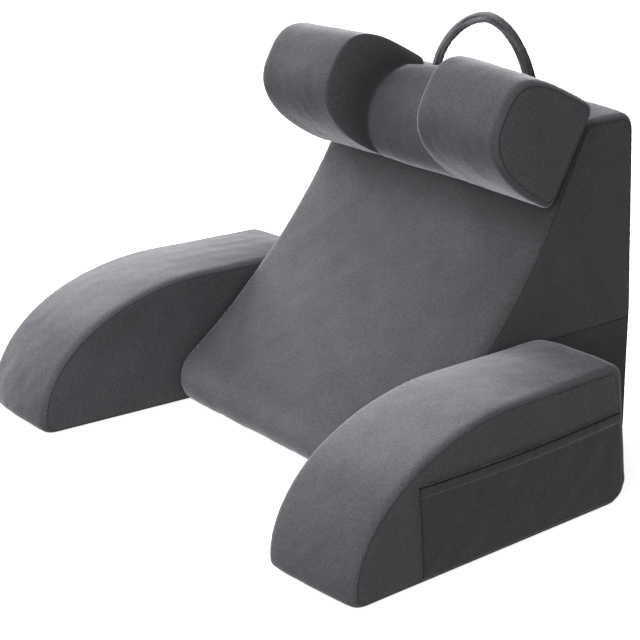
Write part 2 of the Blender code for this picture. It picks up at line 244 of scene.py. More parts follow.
def even_ring(outline, grid):
    """Spread points evenly over each of an outline's four sides.

    grid holds the count for its bottom and top, and the count for its front and back.
    """
    points, marks = outline
    ring = []
    ends = marks[1:] + [len(points)]
    for first, last, count in zip(marks, ends, grid * 2):
        side = points[np.arange(first, last + 1) % len(points)]
        run = np.concatenate(([0.0], np.cumsum(np.linalg.norm(np.diff(side, axis=0), axis=1))))
        at = np.linspace(0.0, run[-1], count, endpoint=False)
        ring.append(np.column_stack([np.interp(at, run, side[:, k]) for k in (0, 1)]))
    return np.vstack(ring)


def wedge_outline(front, top, back, bottom):
    """The wedge's side view, with each face drawn in by its own distance."""
    radius = NOSE_RADIUS - front
    nose = (NOSE_CENTRE, bottom + radius)
    slope_start = np.array(nose) + radius * direction(math.pi / 2 + LOW_SLOPE)
    foot = SLOPE_FOOT + front * np.array((math.sin(HIGH_SLOPE), -math.cos(HIGH_SLOPE)))
    bend = crossing(slope_start, LOW_SLOPE, foot, HIGH_SLOPE)

    ceiling = WEDGE_HEIGHT - top
    corner = crossing(foot, HIGH_SLOPE, (0.0, ceiling), 0.0)
    fillet = (corner[0] + TOP_CORNER_RADIUS * math.tan(0.5 * HIGH_SLOPE), ceiling - TOP_CORNER_RADIUS)
    slope_end = np.array(fillet) + TOP_CORNER_RADIUS * direction(math.pi / 2 + HIGH_SLOPE)

    rear = WEDGE_BACK - back
    inner = BACK_CORNER_RADIUS
    parts = [
        arc(nose, radius, 270, 90 + math.degrees(LOW_SLOPE)),
        bezier(slope_start, bend, foot),
        straight(foot, slope_end),
        arc(fillet, TOP_CORNER_RADIUS, 90 + math.degrees(HIGH_SLOPE), 90),
        straight((fillet[0], ceiling), (rear - inner, ceiling)),
        arc((rear - inner, ceiling - inner), inner, 90, 0),
        straight((rear, ceiling - inner), (rear, bottom + inner)),
        arc((rear - inner, bottom + inner), inner, 0, -90),
        straight((rear - inner, bottom), (nose[0], bottom)),
    ]
    low_back, low_nose, middle_slope, high_back = (7, 0.5), (0, 0.3), (1, 0.62), (5, 0.5)
    return closed_line(parts, (low_back, low_nose, middle_slope, high_back))


def arm_outline(front, top, back, bottom):
    """An arm's side view, with its back end at y = 0 and its toe towards -y."""
    toe = -(ARM_LENGTH - front)
    bend = -(ARM_LENGTH - ARM_CURVE_LENGTH)
    floor = bottom + ARM_TOE_RADIUS
    ceiling = ARM_HEIGHT - top
    turn = np.linspace(0.0, math.pi / 2, 3 * DENSE, endpoint=False)
    curve = np.column_stack((
        bend + (toe - bend) * np.cos(turn),
        floor + (ceiling - floor) * np.sin(turn),
    ))
    tilt = math.degrees(math.atan2(ARM_HEEL, ARM_HEIGHT))
    high = (-back - ARM_TOP_CORNER_RADIUS, ceiling - ARM_TOP_CORNER_RADIUS)
    low = (-back + ARM_HEEL - ARM_LOW_CORNER_RADIUS, bottom + ARM_LOW_CORNER_RADIUS)
    lean = direction(math.radians(tilt))
    parts = [
        arc((toe + ARM_TOE_RADIUS, floor), ARM_TOE_RADIUS, 270, 180),
        curve,
        straight((bend, ceiling), (high[0], ceiling)),
        arc(high, ARM_TOP_CORNER_RADIUS, 90, tilt),
        straight(high + ARM_TOP_CORNER_RADIUS * lean, low + ARM_LOW_CORNER_RADIUS * lean),
        arc(low, ARM_LOW_CORNER_RADIUS, tilt, -90),
        straight((low[0], bottom), (toe + ARM_TOE_RADIUS, bottom)),
    ]
    low_back, low_toe, middle_curve, high_back = (5, 0.5), (0, 0.5), (1, 0.52), (3, 0.5)
    return closed_line(parts, (low_back, low_toe, middle_curve, high_back))


def pillow_outline(depth, fullness, inset, bow, dip):
    """The neck pillow's section, as (height up the slope, depth off it)."""
    highest = LOBE_CENTRE + LOBE_HALF_HEIGHT + bow * UPPER_BOW - dip
    lowest = LOBE_CENTRE - LOBE_HALF_HEIGHT + bow * LOWER_BOW
    rim = 0.5 * (highest - lowest) - inset
    centre = 0.5 * (highest + lowest)
    start = inset - bow * PILLOW_BACK_CROWN + PILLOW_BACK_RADIUS
    reach = depth - inset - start
    runs = []
    for side, full_power in ((1, UPPER_POWER), (-1, LOWER_POWER)):
        power = SADDLE_POWER + (full_power - SADDLE_POWER) * fullness
        turn = np.linspace(0.0, math.pi / 2, 3 * DENSE)
        across = centre + side * rim * np.cos(turn).clip(0.0) ** (2 / power)
        runs.append(np.column_stack((across, start + reach * np.sin(turn) ** (2 / power))))
    upper = runs[0][:-1]
    lower = runs[1][:0:-1]
    inner = rim - PILLOW_BACK_RADIUS
    back = start - PILLOW_BACK_RADIUS
    parts = [
        arc((centre - inner, start), PILLOW_BACK_RADIUS, 180, 270),
        straight((centre - inner, back), (centre + inner, back)),
        arc((centre + inner, start), PILLOW_BACK_RADIUS, -90, 0),
        upper,
        lower,
    ]
    low_back, high_back, high_front, low_front = (0, 0.5), (2, 0.5), (3, 0.5), (4, 0.5)
    return closed_line(parts, (low_back, high_back, high_front, low_front))


# ---- Cushion meshes ---------------------------------------

WEDGE_GRID = (50, 64)
WEDGE_STATIONS = 24
ARM_GRID = (60, 32)
ARM_STATIONS = 11
PILLOW_GRID = (20, 22)
SADDLE_STATIONS = 13
RISE_STATIONS = 12
LOBE_STATIONS = 20


def panel_bulge(points, rim):
    """How far a side panel swells out at each (y, z): most in the middle of its rim's box."""
    low, high = rim.min(axis=0), rim.max(axis=0)
    along, up = (2 * (points - low) / (high - low) - 1).T
    return PANEL_BULGE * np.clip(1 - along ** 2, 0, None) * np.clip(1 - up ** 2, 0, None)


def coons(ring, grid):
    """Fill a ring of four sides with a grid of points."""
    n, m = grid
    assert len(ring) == 2 * (n + m)
    low = ring[:n + 1]
    far = ring[n:n + m + 1]
    high = ring[n + m:2 * n + m + 1][::-1]
    near = np.vstack((ring[2 * n + m:], ring[:1]))[::-1]
    u = np.linspace(0, 1, n + 1)[:, None, None]
    v = np.linspace(0, 1, m + 1)[None, :, None]
    sides = (1 - v) * low[:, None] + v * high[:, None] + (1 - u) * near[None] + u * far[None]
    corners = (
        (1 - u) * (1 - v) * low[0] + u * (1 - v) * low[-1] + (1 - u) * v * high[0] + u * v * high[-1]
    )
    return sides - corners


def solid(name, points, faces):
    """A closed mesh object whose faces all look outwards."""
    mesh = bpy.data.meshes.new(name)
    mesh.from_pydata(points.tolist(), [], [tuple(int(k) for k in face) for face in faces])
    builder = bmesh.new()
    builder.from_mesh(mesh)
    bmesh.ops.recalc_face_normals(builder, faces=builder.faces)
    builder.to_mesh(mesh)
    builder.free()
    mesh.shade_smooth()
    piece = bpy.data.objects.new(name, mesh)
    bpy.context.scene.collection.objects.link(piece)
    return piece


def tube_faces(rings, size):
    """Quads that join each ring, of that size, to the next."""
    faces = []
    for base in range(0, (rings - 1) * size, size):
        for k in range(size):
            after = (k + 1) % size
            faces.append((base + k, base + after, base + size + after, base + size + k))
    return faces


def cushion_mesh(name, rings, caps, grid):
    """A closed skin of quads: a row of equal rings, with a grid of points at each end.

    Its point order is ring after ring, then the caps' inner points.
    """
    n, m = grid
    size = len(rings[0])
    points = [np.vstack(rings)]
    faces = tube_faces(len(rings), size)
    total = len(points[0])
    for cap, base in zip(caps, (0, (len(rings) - 1) * size)):
        index = -np.ones((n + 1, m + 1), dtype=int)
        index[:, 0] = base + np.arange(n + 1)
        index[n, :] = base + n + np.arange(m + 1)
        index[:, m] = (base + n + m + np.arange(n + 1))[::-1]
        index[0, 1:] = (base + 2 * n + m + np.arange(m))[::-1]
        inner = cap[1:n, 1:m].reshape(-1, 3)
        index[1:n, 1:m] = total + np.arange(len(inner)).reshape(n - 1, m - 1)
        points.append(inner)
        total += len(inner)
        for i in range(n):
            for j in range(m):
                faces.append((index[i, j], index[i + 1, j], index[i + 1, j + 1], index[i, j + 1]))
    return solid(name, np.vstack(points), faces)


def mirrored_cushion(name, half, rim, half_width_at, grid, place):
    """A cushion from the rings of its +X half, and the point numbers of its two seams.

    half runs from the ring at x = 0 to the end panel's, whose (y, z) points are the rim.
    """
    flip = np.array((-1, 1, 1))
    rings = [ring * flip for ring in half[:0:-1]] + half
    panel = coons(rim, grid)
    flat = panel.reshape(-1, 2)
    out = half_width_at(flat) + panel_bulge(flat, rim)
    cap = np.concatenate((out.reshape(*panel.shape[:2], 1), panel), axis=2)
    cushion = cushion_mesh(name, rings, (cap * flip, cap), grid)
    cushion.data.transform(place)
    size = len(rim)
    after_seam = len(EDGE_TURNS) - EDGE_TURNS.index(SEAM_TURN) - 1
    seams = [row * size + np.arange(size) for row in (after_seam, len(rings) - 1 - after_seam)]
    return cushion, seams


def drawn_ring(outline_of, draw, grid, share, inset):
    """A ring of points, its faces drawn in by a share of their draw and by an inset."""
    return even_ring(outline_of(
        draw["front"] * share + inset,
        draw["top"] * share + inset,
        draw["back"] * share + inset * draw["back_rounding"],
        BOTTOM_EDGE_SHARE * inset,
    ), grid)


def boxed_cushion(name, outline_of, draw, half_width_at, grid, stations, place):
    """A cushion with a crowned band round its outline and two side panels, and its seams."""
    half = []
    for share in np.linspace(0.0, 1.0, stations, endpoint=False):
        flat = drawn_ring(outline_of, draw, grid, share ** 2, 0.0)
        half.append(np.column_stack((share * (half_width_at(flat) - EDGE_RADIUS), flat)))
    rim = drawn_ring(outline_of, draw, grid, 1.0, EDGE_RADIUS)
    for degrees in EDGE_TURNS:
        turn = math.radians(degrees)
        flat = drawn_ring(outline_of, draw, grid, 1.0, EDGE_RADIUS * (1 - math.cos(turn)))
        out = half_width_at(flat) - EDGE_RADIUS + math.sin(turn) * (EDGE_RADIUS + panel_bulge(flat, rim))
        half.append(np.column_stack((out, flat)))
    return mirrored_cushion(name, half, rim, half_width_at, grid, place)


# ---- Filling by simulation --------------------------------

FILL_FRAMES = 20
FILL_QUALITY = 5
FILL_MASS = 0.3
FILL_PRESSURE = 4.0
FILL_STRETCH = 0.012
EVENING_ROUNDS = 8
CROWN = {"wedge": 0.0030, "arm": 0.0026, "pillow": 0.0026}
CROWN_PERCENTILE = 98
LEAST_SWELLING = 1e-6
ON_FLOOR = 0.0005
NEIGHBOUR_REACH = 0.009
TOUCHING = 0.0007


def room_round(points, own_node):
    """From 0 for a point that touches another node, to 1 for one with space round it."""
    trees = []
    for name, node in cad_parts.items():
        if name != own_node:
            corners = [vertex.co for vertex in node.data.vertices]
            polygons = [tuple(polygon.vertices) for polygon in node.data.polygons]
            trees.append(BVHTree.FromPolygons(corners, polygons))
    gaps = np.full(len(points), NEIGHBOUR_REACH)
    for k, point in enumerate(points):
        for tree in trees:
            hit = tree.find_nearest(point, gaps[k])
            if hit[3] is not None:
                gaps[k] = min(gaps[k], hit[3])
    return ramp(gaps, TOUCHING, NEIGHBOUR_REACH)


def evened(mesh, field):
    """Even out a field over a mesh: each point takes the mean of itself and its neighbours."""
    ends = np.empty(len(mesh.edges) * 2, dtype=int)
    mesh.edges.foreach_get("vertices", ends)
    one, other = ends.reshape(-1, 2).T
    count = 1 + np.bincount(ends, minlength=len(field))[:, None]
    for _ in range(EVENING_ROUNDS):
        total = field.copy()
        np.add.at(total, one, field[other])
        np.add.at(total, other, field[one])
        field = total / count
    return field


def swollen_points(piece, pinned):
    """Where a piece's points are after pressure has swelled its cloth, with some of them pinned."""
    pins = piece.vertex_groups.new(name="pins")
    pins.add([int(k) for k in pinned], 1.0, "REPLACE")
    cloth = piece.modifiers.new("fill", "CLOTH")
    cloth.point_cache.frame_start = 1
    cloth.point_cache.frame_end = FILL_FRAMES
    cloth.collision_settings.use_collision = False
    settings = cloth.settings
    settings.quality = FILL_QUALITY
    settings.mass = FILL_MASS
    settings.use_pressure = True
    settings.uniform_pressure_force = FILL_PRESSURE
    settings.shrink_min = -FILL_STRETCH
    settings.vertex_group_mass = "pins"
    settings.effector_weights.gravity = 0.0
    for step in range(1, FILL_FRAMES + 1):
        bpy.context.scene.frame_set(step)
    shown = piece.evaluated_get(bpy.context.evaluated_depsgraph_get())
    points = read_points(shown.data)
    piece.modifiers.remove(cloth)
    piece.vertex_groups.remove(pins)
    bpy.context.scene.frame_set(1)
    return points


def fill(piece, seams, own_node, crown):
    """Let pressure swell a cushion between its pinned seams, then scale that down to its crown.

    The swelling is evened out, and it fades where the cushion touches a neighbour.
    """
    before = read_points(piece.data)
    normals = read_normals(piece.data)
    floor = np.flatnonzero(before[:, 2] < ON_FLOOR)
    pinned = np.concatenate(seams + [floor])
    move = evened(piece.data, swollen_points(piece, pinned) - before)
    move[pinned] = 0.0
    out = np.sum(move * normals, axis=1)
    scale = min(crown / max(np.percentile(np.abs(out), CROWN_PERCENTILE), LEAST_SWELLING), 1.0)
    points = before + move * (scale * room_round(before, own_node))[:, None]
    points[:, 2] = points[:, 2].clip(0.0)
    write_points(piece.data, points)


def refine(piece):
    """Subdivide a piece's mesh once and keep the result."""
    smooth = piece.modifiers.new("smooth", "SUBSURF")
    smooth.levels = smooth.render_levels = 1
    shown = piece.evaluated_get(bpy.context.evaluated_depsgraph_get())
    mesh = bpy.data.meshes.new_from_object(shown)
    old = piece.data
    piece.modifiers.remove(smooth)
    piece.data = mesh
    bpy.data.meshes.remove(old)
    mesh.name = piece.name
    mesh.shade_smooth()


def stuff(cushion, seams, own_node, crown):
    """Fill a cushion, sink its seams and refine it. Returns the unsunk seams as lines of points."""
    fill(cushion, seams, own_node, crown)
    points = read_points(cushion.data)
    normals = read_normals(cushion.data)
    lines = [points[seam] for seam in seams]
    for seam in seams:
        points[seam] -= SEAM_DEPTH * normals[seam]
    points[:, 2] = points[:, 2].clip(0.0)
    write_points(cushion.data, points)
    refine(cushion)
    return lines


# ---- Seams and the cloth's small unevenness ---------------

# Heights and sizes of the bumps all over the cloth, which stay flat beside a seam.
BUMP_HEIGHT = 0.00030
BUMP_SIZE = 0.085
FINE_BUMP_HEIGHT = 0.00012
FINE_BUMP_SIZE = 0.028
FLAT_REACH = 0.012

# Puckers along a seam: short waves that come and go over a longer length.
PUCKER_HEIGHT = 0.00020
PUCKER_REACH = 0.011
PUCKER_LENGTH = 0.012
PUCKER_SWELL = 0.4
PUCKER_SWELL_LENGTH = 0.09
SEAM_HALF_WIDTH = 0.0012
SEAM_SAMPLE = 0.001

# Tones: patches all over, painted shade in the seam itself, and a painted highlight on the cloth turned up to
# the light beside it.
PATCH_TONE = 0.02
PATCH_SIZE = 0.05
SEAM_SHADE = 0.25
SEAM_SHADE_REACH = 0.0009
SHOULDER_TONE = 0.05
SHOULDER_PLACE = 0.006
SHOULDER_REACH = 0.003

ABOVE_FLOOR = 0.006


def along_seams(points, lines):
    """Each point's distance from the nearest seam, and the place along that seam."""
    samples = []
    places = []
    start = 0.0
    for line in lines:
        loop = np.vstack((line, line[:1]))
        run = np.concatenate(([0.0], np.cumsum(np.linalg.norm(np.diff(loop, axis=0), axis=1))))
        at = np.arange(0.0, run[-1], SEAM_SAMPLE)
        samples.append(np.column_stack([np.interp(at, run, loop[:, k]) for k in range(3)]))
        places.append(at + start)
        start += run[-1]
    samples = np.vstack(samples)
    places = np.concatenate(places)
    tree = KDTree(len(samples))
    for k, sample in enumerate(samples):
        tree.insert(sample, k)
    tree.balance()
    found = [tree.find(point) for point in points]
    return np.array([hit[2] for hit in found]), places[[hit[1] for hit in found]]


def finish_cloth(piece, lines, own_node, seed, painted_light_and_tone):
    """Make the cloth a little uneven, pucker it along its seams, and shade it.

    The last argument gives the painted light and shade over the piece, and the neck pillow's darker lobes,
    from the points and their normals.
    """
    points = read_points(piece.data)
    normals = read_normals(piece.data)
    distance, place = along_seams(points, lines)
    place = place[:, None]

    lift = BUMP_HEIGHT * waves(points, BUMP_SIZE, seed)
    lift += FINE_BUMP_HEIGHT * waves(points, FINE_BUMP_SIZE, seed + 1)
    lift *= 1 - np.exp(-distance / FLAT_REACH)
    # The piece's painted light and shade, times random patches of tone.
    shade = painted_light_and_tone(points, normals) * (1 + PATCH_TONE * waves(points, PATCH_SIZE, seed + 2))
    # Painted shade in each seam's groove, and a painted highlight on the cloth beside it.
    shade *= 1 - (1 - SEAM_SHADE) * bell(distance, 0.0, SEAM_SHADE_REACH)
    shade *= 1 + SHOULDER_TONE * bell(distance, SHOULDER_PLACE, SHOULDER_REACH)
    swell = 1 - PUCKER_SWELL + PUCKER_SWELL * waves(place, PUCKER_SWELL_LENGTH, seed + 4)
    ripple = waves(place, PUCKER_LENGTH, seed + 3) * swell
    edge = 1 - np.exp(-distance / SEAM_HALF_WIDTH)
    lift += PUCKER_HEIGHT * ripple * np.exp(-distance / PUCKER_REACH) * edge

    lift = np.where(lift > 0, lift * room_round(points, own_node), lift)
    above = np.clip(points[:, 2] / ABOVE_FLOOR, 0.0, 1.0)
    points += (lift * above)[:, None] * normals
    points[:, 2] = points[:, 2].clip(0.0)
    write_points(piece.data, points)
    shade_points(piece.data, shade)


# ---- Materials --------------------------------------------

CLOTH = (0.103, 0.101, 0.110)
# A darker copy of the cloth, for the wedge's panels below its level seam.
DARKER_BELOW_SEAM = tuple(0.8 * part for part in CLOTH)
HANDLE_GRAIN = 0.8

# Velour, from its pile's tips to its brushed patches: a noise's scale, detail and roughness,
# and the range of tones that it gives.
GRAIN = {"Scale": 640.0, "Detail": 3.0, "Roughness": 0.7}
GRAIN_TONES = (0.62, 1.38)
CLUMPS = {"Scale": 260.0, "Detail": 2.0, "Roughness": 0.6}
CLUMP_TONES = (0.86, 1.14)
PATCHES = {"Scale": 24.0, "Detail": 3.0, "Roughness": 0.55}
PATCH_TONES = (0.95, 1.05)
PATCH_ROUGHNESS = (0.86, 0.98)
NOISE_RANGE = (0.25, 0.75)
CLUMP_BUMP = 0.9
BUMP_STRENGTH = 0.55
BUMP_DISTANCE = 0.0009
GLOSS = {
    "Specular IOR Level": 0.12,
    "Sheen Weight": 1.0,
    "Sheen Roughness": 0.30,
    "Sheen Tint": (0.90, 0.90, 0.97, 1.0),
}


def set_inputs(node, values):
    for name, value in values.items():
        node.inputs[name].default_value = value


class Nodes:
    """Short forms for building a material's nodes."""

    def __init__(self, name):
        self.material = bpy.data.materials.new(name)
        self.material.use_nodes = True
        self.tree = self.material.node_tree
        self.shader = self.tree.nodes["Principled BSDF"]

    def add(self, kind, **values):
        node = self.tree.nodes.new(kind)
        for key, value in values.items():
            setattr(node, key, value)
        return node

    def link(self, source, target):
        self.tree.links.new(source, target)

    def noise(self, vector, values):
        node = self.add("ShaderNodeTexNoise")
        set_inputs(node, values)
        self.link(vector, node.inputs["Vector"])
        return node.outputs["Fac"]

    def math(self, operation, a, b):
        node = self.add("ShaderNodeMath", operation=operation)
        for socket, value in zip(node.inputs, (a, b)):
            if isinstance(value, float):
                socket.default_value = value
            else:
                self.link(value, socket)
        return node.outputs[0]

    def spread(self, noise, tones):
        """Turn a noise into a range of tones."""
        node = self.add("ShaderNodeMapRange")
        set_inputs(node, dict(zip(("From Min", "From Max", "To Min", "To Max"), NOISE_RANGE + tones)))
        self.link(noise, node.inputs["Value"])
        return node.outputs["Result"]


def velour(name, colour=CLOTH, grain=1.0):
    """Short-pile velour: fine grain, clumps of pile, brushed patches and a soft sheen."""
    nodes = Nodes(name)
    shader = nodes.shader
    place = nodes.add("ShaderNodeTexCoord").outputs["Object"]
    fine = nodes.noise(place, GRAIN)
    clumps = nodes.noise(place, CLUMPS)
    patches = nodes.noise(place, PATCHES)
    light = nodes.math("MULTIPLY", nodes.spread(fine, GRAIN_TONES), nodes.spread(clumps, CLUMP_TONES))
    light = nodes.math("MULTIPLY", light, nodes.spread(patches, PATCH_TONES))
    # The shade attribute brings in painted light and shade, besides the cloth's own tones.
    shade = nodes.add("ShaderNodeAttribute", attribute_name="shade")
    light = nodes.math("MULTIPLY", light, shade.outputs["Fac"])
    tint = nodes.add("ShaderNodeVectorMath", operation="SCALE")
    tint.inputs[0].default_value = colour
    nodes.link(light, tint.inputs["Scale"])
    nodes.link(tint.outputs["Vector"], shader.inputs["Base Color"])
    nodes.link(nodes.spread(patches, PATCH_ROUGHNESS), shader.inputs["Roughness"])

    height = nodes.math("ADD", fine, nodes.math("MULTIPLY", clumps, CLUMP_BUMP))
    bump = nodes.add("ShaderNodeBump")
    set_inputs(bump, {"Strength": BUMP_STRENGTH * grain, "Distance": BUMP_DISTANCE})
    nodes.link(height, bump.inputs["Height"])
    nodes.link(bump.outputs["Normal"], shader.inputs["Normal"])
    set_inputs(shader, GLOSS)
    return nodes.material


materials = {
    "wedge_velour": velour("wedge_velour"),
    "wedge_base_velour": velour("wedge_base_velour", colour=DARKER_BELOW_SEAM),
    "arm_velour": velour("arm_velour"),
    "pillow_velour": velour("pillow_velour"),
    "handle_velour": velour("handle_velour", grain=HANDLE_GRAIN),
    "pocket_velour": velour("pocket_velour"),
}


def finished(piece, slot, node):
    """Give a piece the material of its slot and its body, and hide the part of the node that it stands for.
    """
    piece.data.materials.append(materials[slot])
    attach(piece, BODY)
    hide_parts(node)


# ---- The wedge --------------------------------------------

# Normals towards -y between these count as facing the front.
FRONT_FACING = (0.2, 0.7)

# Soft creases on the nose, three low on its -X side and a fainter one at +X: two ends as
# (x, z), and a depth.
NOSE_CREASES = (
    ((-0.206, 0.098), (-0.150, 0.050), 0.0011),
    ((-0.186, 0.112), (-0.128, 0.066), 0.0008),
    ((-0.196, 0.064), (-0.158, 0.030), 0.0009),
    ((0.110, 0.100), (0.176, 0.052), 0.0006),
)
CREASE_WIDTH = 0.008
CREASE_OVERRUN = 0.15
CREASE_FADE = 0.35

# Painted light and shade. The slope's distances run from where the neck pillow's back meets it.
NOSE_LIGHT = 0.95
NOSE_FADE = (0.046, 0.088)
UNDER_PILLOW_SHADOW = 0.18
UNDER_REACH = 0.026
BELOW_PILLOW_LIGHT = 0.16
BELOW_PLACE = 0.060
BELOW_REACH = 0.032
SIDE_SHADE = 0.14
SIDE_FACING = (0.7, 0.95)
SLOPE_SHADE = 0.07
SLOPE_LEFT_SHADE = 0.13
SLOPE_LEFT_FADE = (0.02, 0.22)

# The level seam across the sides and back.
CUT_FACING = 0.8
CUT_HALF_WIDTH = 0.0014
CUT_REACH = 0.02
CUT_DEPTH = 0.0011
CUT_TOLERANCE = 0.00002
ON_CUT = 0.00005


def wedge_half_width(points):
    """Full between the arms, and narrower towards the wedge's top."""
    above_arms = np.clip(points[:, 1] - ARM_HEIGHT, 0.0, None) / (WEDGE_HEIGHT - ARM_HEIGHT)
    return WEDGE_HALF_WIDTH - WEDGE_TOP_NARROWING * above_arms


def press_creases(piece):
    """Press the nose's creases into the cloth, each fading out towards its ends."""
    points = read_points(piece.data)
    normals = read_normals(piece.data)
    flat = points[:, (0, 2)]
    depth = np.zeros(len(points))
    for start, end, deepest in NOSE_CREASES:
        run = np.subtract(end, start)
        along = (flat - start) @ run / (run @ run)
        aside = np.linalg.norm(flat - start - along[:, None] * run, axis=1)
        fade = ramp(along, -CREASE_OVERRUN, CREASE_FADE)
        fade *= 1 - ramp(along, 1 - CREASE_FADE, 1 + CREASE_OVERRUN)
        depth += deepest * fade * bell(aside, 0.0, CREASE_WIDTH)
    depth *= ramp(-normals[:, 1], *FRONT_FACING)
    write_points(piece.data, points - depth[:, None] * normals)


def wedge_painted_light(points, normals):
    """Painted light on the nose's low front and in a band below the neck pillow.

    Painted shade close under the pillow, towards +X on the slope, and on the side panels.
    """
    facing = ramp(-normals[:, 1], *FRONT_FACING)
    nose = 1 + NOSE_LIGHT * facing * (1 - ramp(points[:, 2], *NOSE_FADE))
    fall = np.hypot(points[:, 1] + MIDDLE_Y - SLOPE_FOOT[0], points[:, 2] - SLOPE_FOOT[1])
    under = 1 - UNDER_PILLOW_SHADOW * facing * bell(fall, 0.0, UNDER_REACH)
    below = 1 + BELOW_PILLOW_LIGHT * facing * bell(fall, BELOW_PLACE, BELOW_REACH)
    sides = 1 - SIDE_SHADE * ramp(np.abs(normals[:, 0]), *SIDE_FACING)
    slope = 1 - facing * (SLOPE_SHADE + SLOPE_LEFT_SHADE * ramp(points[:, 0], *SLOPE_LEFT_FADE))
    return nose * under * below * sides * slope


def cut_level_seam(piece, height):
    """Sink a level seam across the wedge's sides and back, with painted shade in it, and give the panels
    below it the darker copy of the velour.
    """
    builder = bmesh.new()
    builder.from_mesh(piece.data)
    shade = builder.verts.layers.float_color["shade"]

    def on_panel(face):
        return abs(face.normal.x) > CUT_FACING or face.normal.y > CUT_FACING

    for level in (height - CUT_HALF_WIDTH, height, height + CUT_HALF_WIDTH):
        faces = [
            face for face in builder.faces
            if on_panel(face) and abs(face.calc_center_median().z - level) < CUT_REACH
        ]
        edges = dict.fromkeys(edge for face in faces for edge in face.edges)
        corners = dict.fromkeys(vert for face in faces for vert in face.verts)
        bmesh.ops.bisect_plane(
            builder, geom=list(corners) + list(edges) + faces, dist=CUT_TOLERANCE,
            plane_co=(0.0, 0.0, level), plane_no=(0.0, 0.0, 1.0),
        )
    builder.normal_update()
    for vert in builder.verts:
        if abs(vert.co.z - height) < ON_CUT and all(on_panel(face) for face in vert.link_faces):
            vert.co -= CUT_DEPTH * vert.normal
            # Painted shade in the sunk seam.
            vert[shade] = (SEAM_SHADE, SEAM_SHADE, SEAM_SHADE, 1.0)
    for face in builder.faces:
        if on_panel(face) and face.calc_center_median().z < height:
            face.material_index = 1
    builder.to_mesh(piece.data)
    builder.free()
    piece.data.shade_smooth()


def make_wedge():
    wedge, seams = boxed_cushion(
        "wedge_cushion", wedge_outline, WEDGE_DRAW, wedge_half_width, WEDGE_GRID, WEDGE_STATIONS,
        Matrix.Translation((0.0, -MIDDLE_Y, 0.0)),
    )
    lines = stuff(wedge, seams, "wedge_body", CROWN["wedge"])
    press_creases(wedge)
    finish_cloth(wedge, lines, "wedge_body", seed=11, painted_light_and_tone=wedge_painted_light)
    finished(wedge, "wedge_velour", "wedge_body")
    wedge.data.materials.append(materials["wedge_base_velour"])
    cut_level_seam(wedge, BASE_SEAM_HEIGHT)


# ---- Arms -------------------------------------------------

# Painted light and shade: a level top is lighter, but not towards its back end.
LEVEL_FACING = (0.72, 0.95)
LEVEL_HIGHLIGHT = 0.55
LEVEL_BACK_SHADE = 0.82
LEVEL_BACK_FADE = (-0.09, 0.12)
RIGHT_BACK_SHADE = 0.15
RIGHT_BACK_FADE = (-0.15, 0.0)
RIGHT_FOOT_LIGHT = 0.13
RIGHT_FOOT_FADE = (0.07, 0.14)


def arm_half_width(points):
    """Wider towards the toe."""
    return 0.5 * (ARM_BACK_WIDTH - (ARM_FRONT_WIDTH - ARM_BACK_WIDTH) * points[:, 0] / ARM_LENGTH)


def arm_painted_light(points, normals):
    """Painted highlight where the arm's top is level, and painted shade at its back end.

    The right arm also has a little painted shade at its back, and painted light at its foot.
    """
    level = ramp(normals[:, 2], *LEVEL_FACING)
    right = points[:, 0] < 0.0
    back = 1 - RIGHT_BACK_SHADE * right * ramp(points[:, 1], *RIGHT_BACK_FADE)
    foot = 1 + RIGHT_FOOT_LIGHT * right * (1 - ramp(points[:, 2], *RIGHT_FOOT_FADE))
    top = 1 + level * (LEVEL_HIGHLIGHT - LEVEL_BACK_SHADE * ramp(points[:, 1], *LEVEL_BACK_FADE))
    return back * foot * top


def arm_place(side):
    move = Matrix.Translation((side * (ARM_SEAT_X + 0.5 * ARM_BACK_WIDTH), ARM_BACK - MIDDLE_Y, 0.0))
    return move @ Matrix.Rotation(side * ARM_SPLAY, 4, "Z")


def make_arm(node, side, seed):
    arm, seams = boxed_cushion(
        node + "_cushion", arm_outline, ARM_DRAW, arm_half_width, ARM_GRID, ARM_STATIONS, arm_place(side)
    )
    lines = stuff(arm, seams, node, CROWN["arm"])
    finish_cloth(arm, lines, node, seed, arm_painted_light)
    finished(arm, "arm_velour", node)


# ---- Neck pillow ------------------------------------------

# Painted shade on the saddle's top and in the creases, and a darker tone round the lobes. Creases lie where
# the lobes rise, just past the saddle's end.
SADDLE_TOP_SHADE = 0.25
SADDLE_TOP_FACING = (0.5, 0.9)
SADDLE_FADE = 0.01
CREASE_SHADE = 0.45
CREASE_PLACE = 0.002
CREASE_REACH = 0.004
LOBE_TONE = 0.15
LOBE_WALL_FACING = (0.5, 0.9)


def pillow_shade_and_tone(points, normals):
    """Painted shade on the saddle's top and in the creases, and darker round the lobes between their flat
    walls.
    """
    past_saddle = np.abs(points[:, 0]) - SADDLE_END
    saddle = 1 - ramp(past_saddle, -SADDLE_FADE, SADDLE_FADE)
    crease = 1 - CREASE_SHADE * bell(past_saddle, CREASE_PLACE, CREASE_REACH)
    walls = ramp(np.abs(normals[:, 0]), *LOBE_WALL_FACING)
    lobes = 1 - LOBE_TONE * (1 - saddle) * (1 - walls)
    top = 1 - SADDLE_TOP_SHADE * saddle * ramp(normals[:, 2], *SADDLE_TOP_FACING)
    return lobes * top * crease


def pillow_ring(x, inset, out):
    """The pillow's ring of points at x, drawn in by an inset and set at x = out."""
    fullness = ramp(abs(x), SADDLE_END, LOBE_START)
    depth = SADDLE_DEPTH + (LOBE_DEPTH - SADDLE_DEPTH) * fullness
    bow = 1 - (x / PILLOW_HALF_LENGTH) ** 2
    dip = SADDLE_DIP + (SADDLE_END_DIP - SADDLE_DIP) * min(abs(x) / SADDLE_END, 1.0) ** 2
    flat = even_ring(pillow_outline(depth, fullness, inset, bow, dip * (1 - fullness)), PILLOW_GRID)
    return np.column_stack((np.full(len(flat), out), flat))


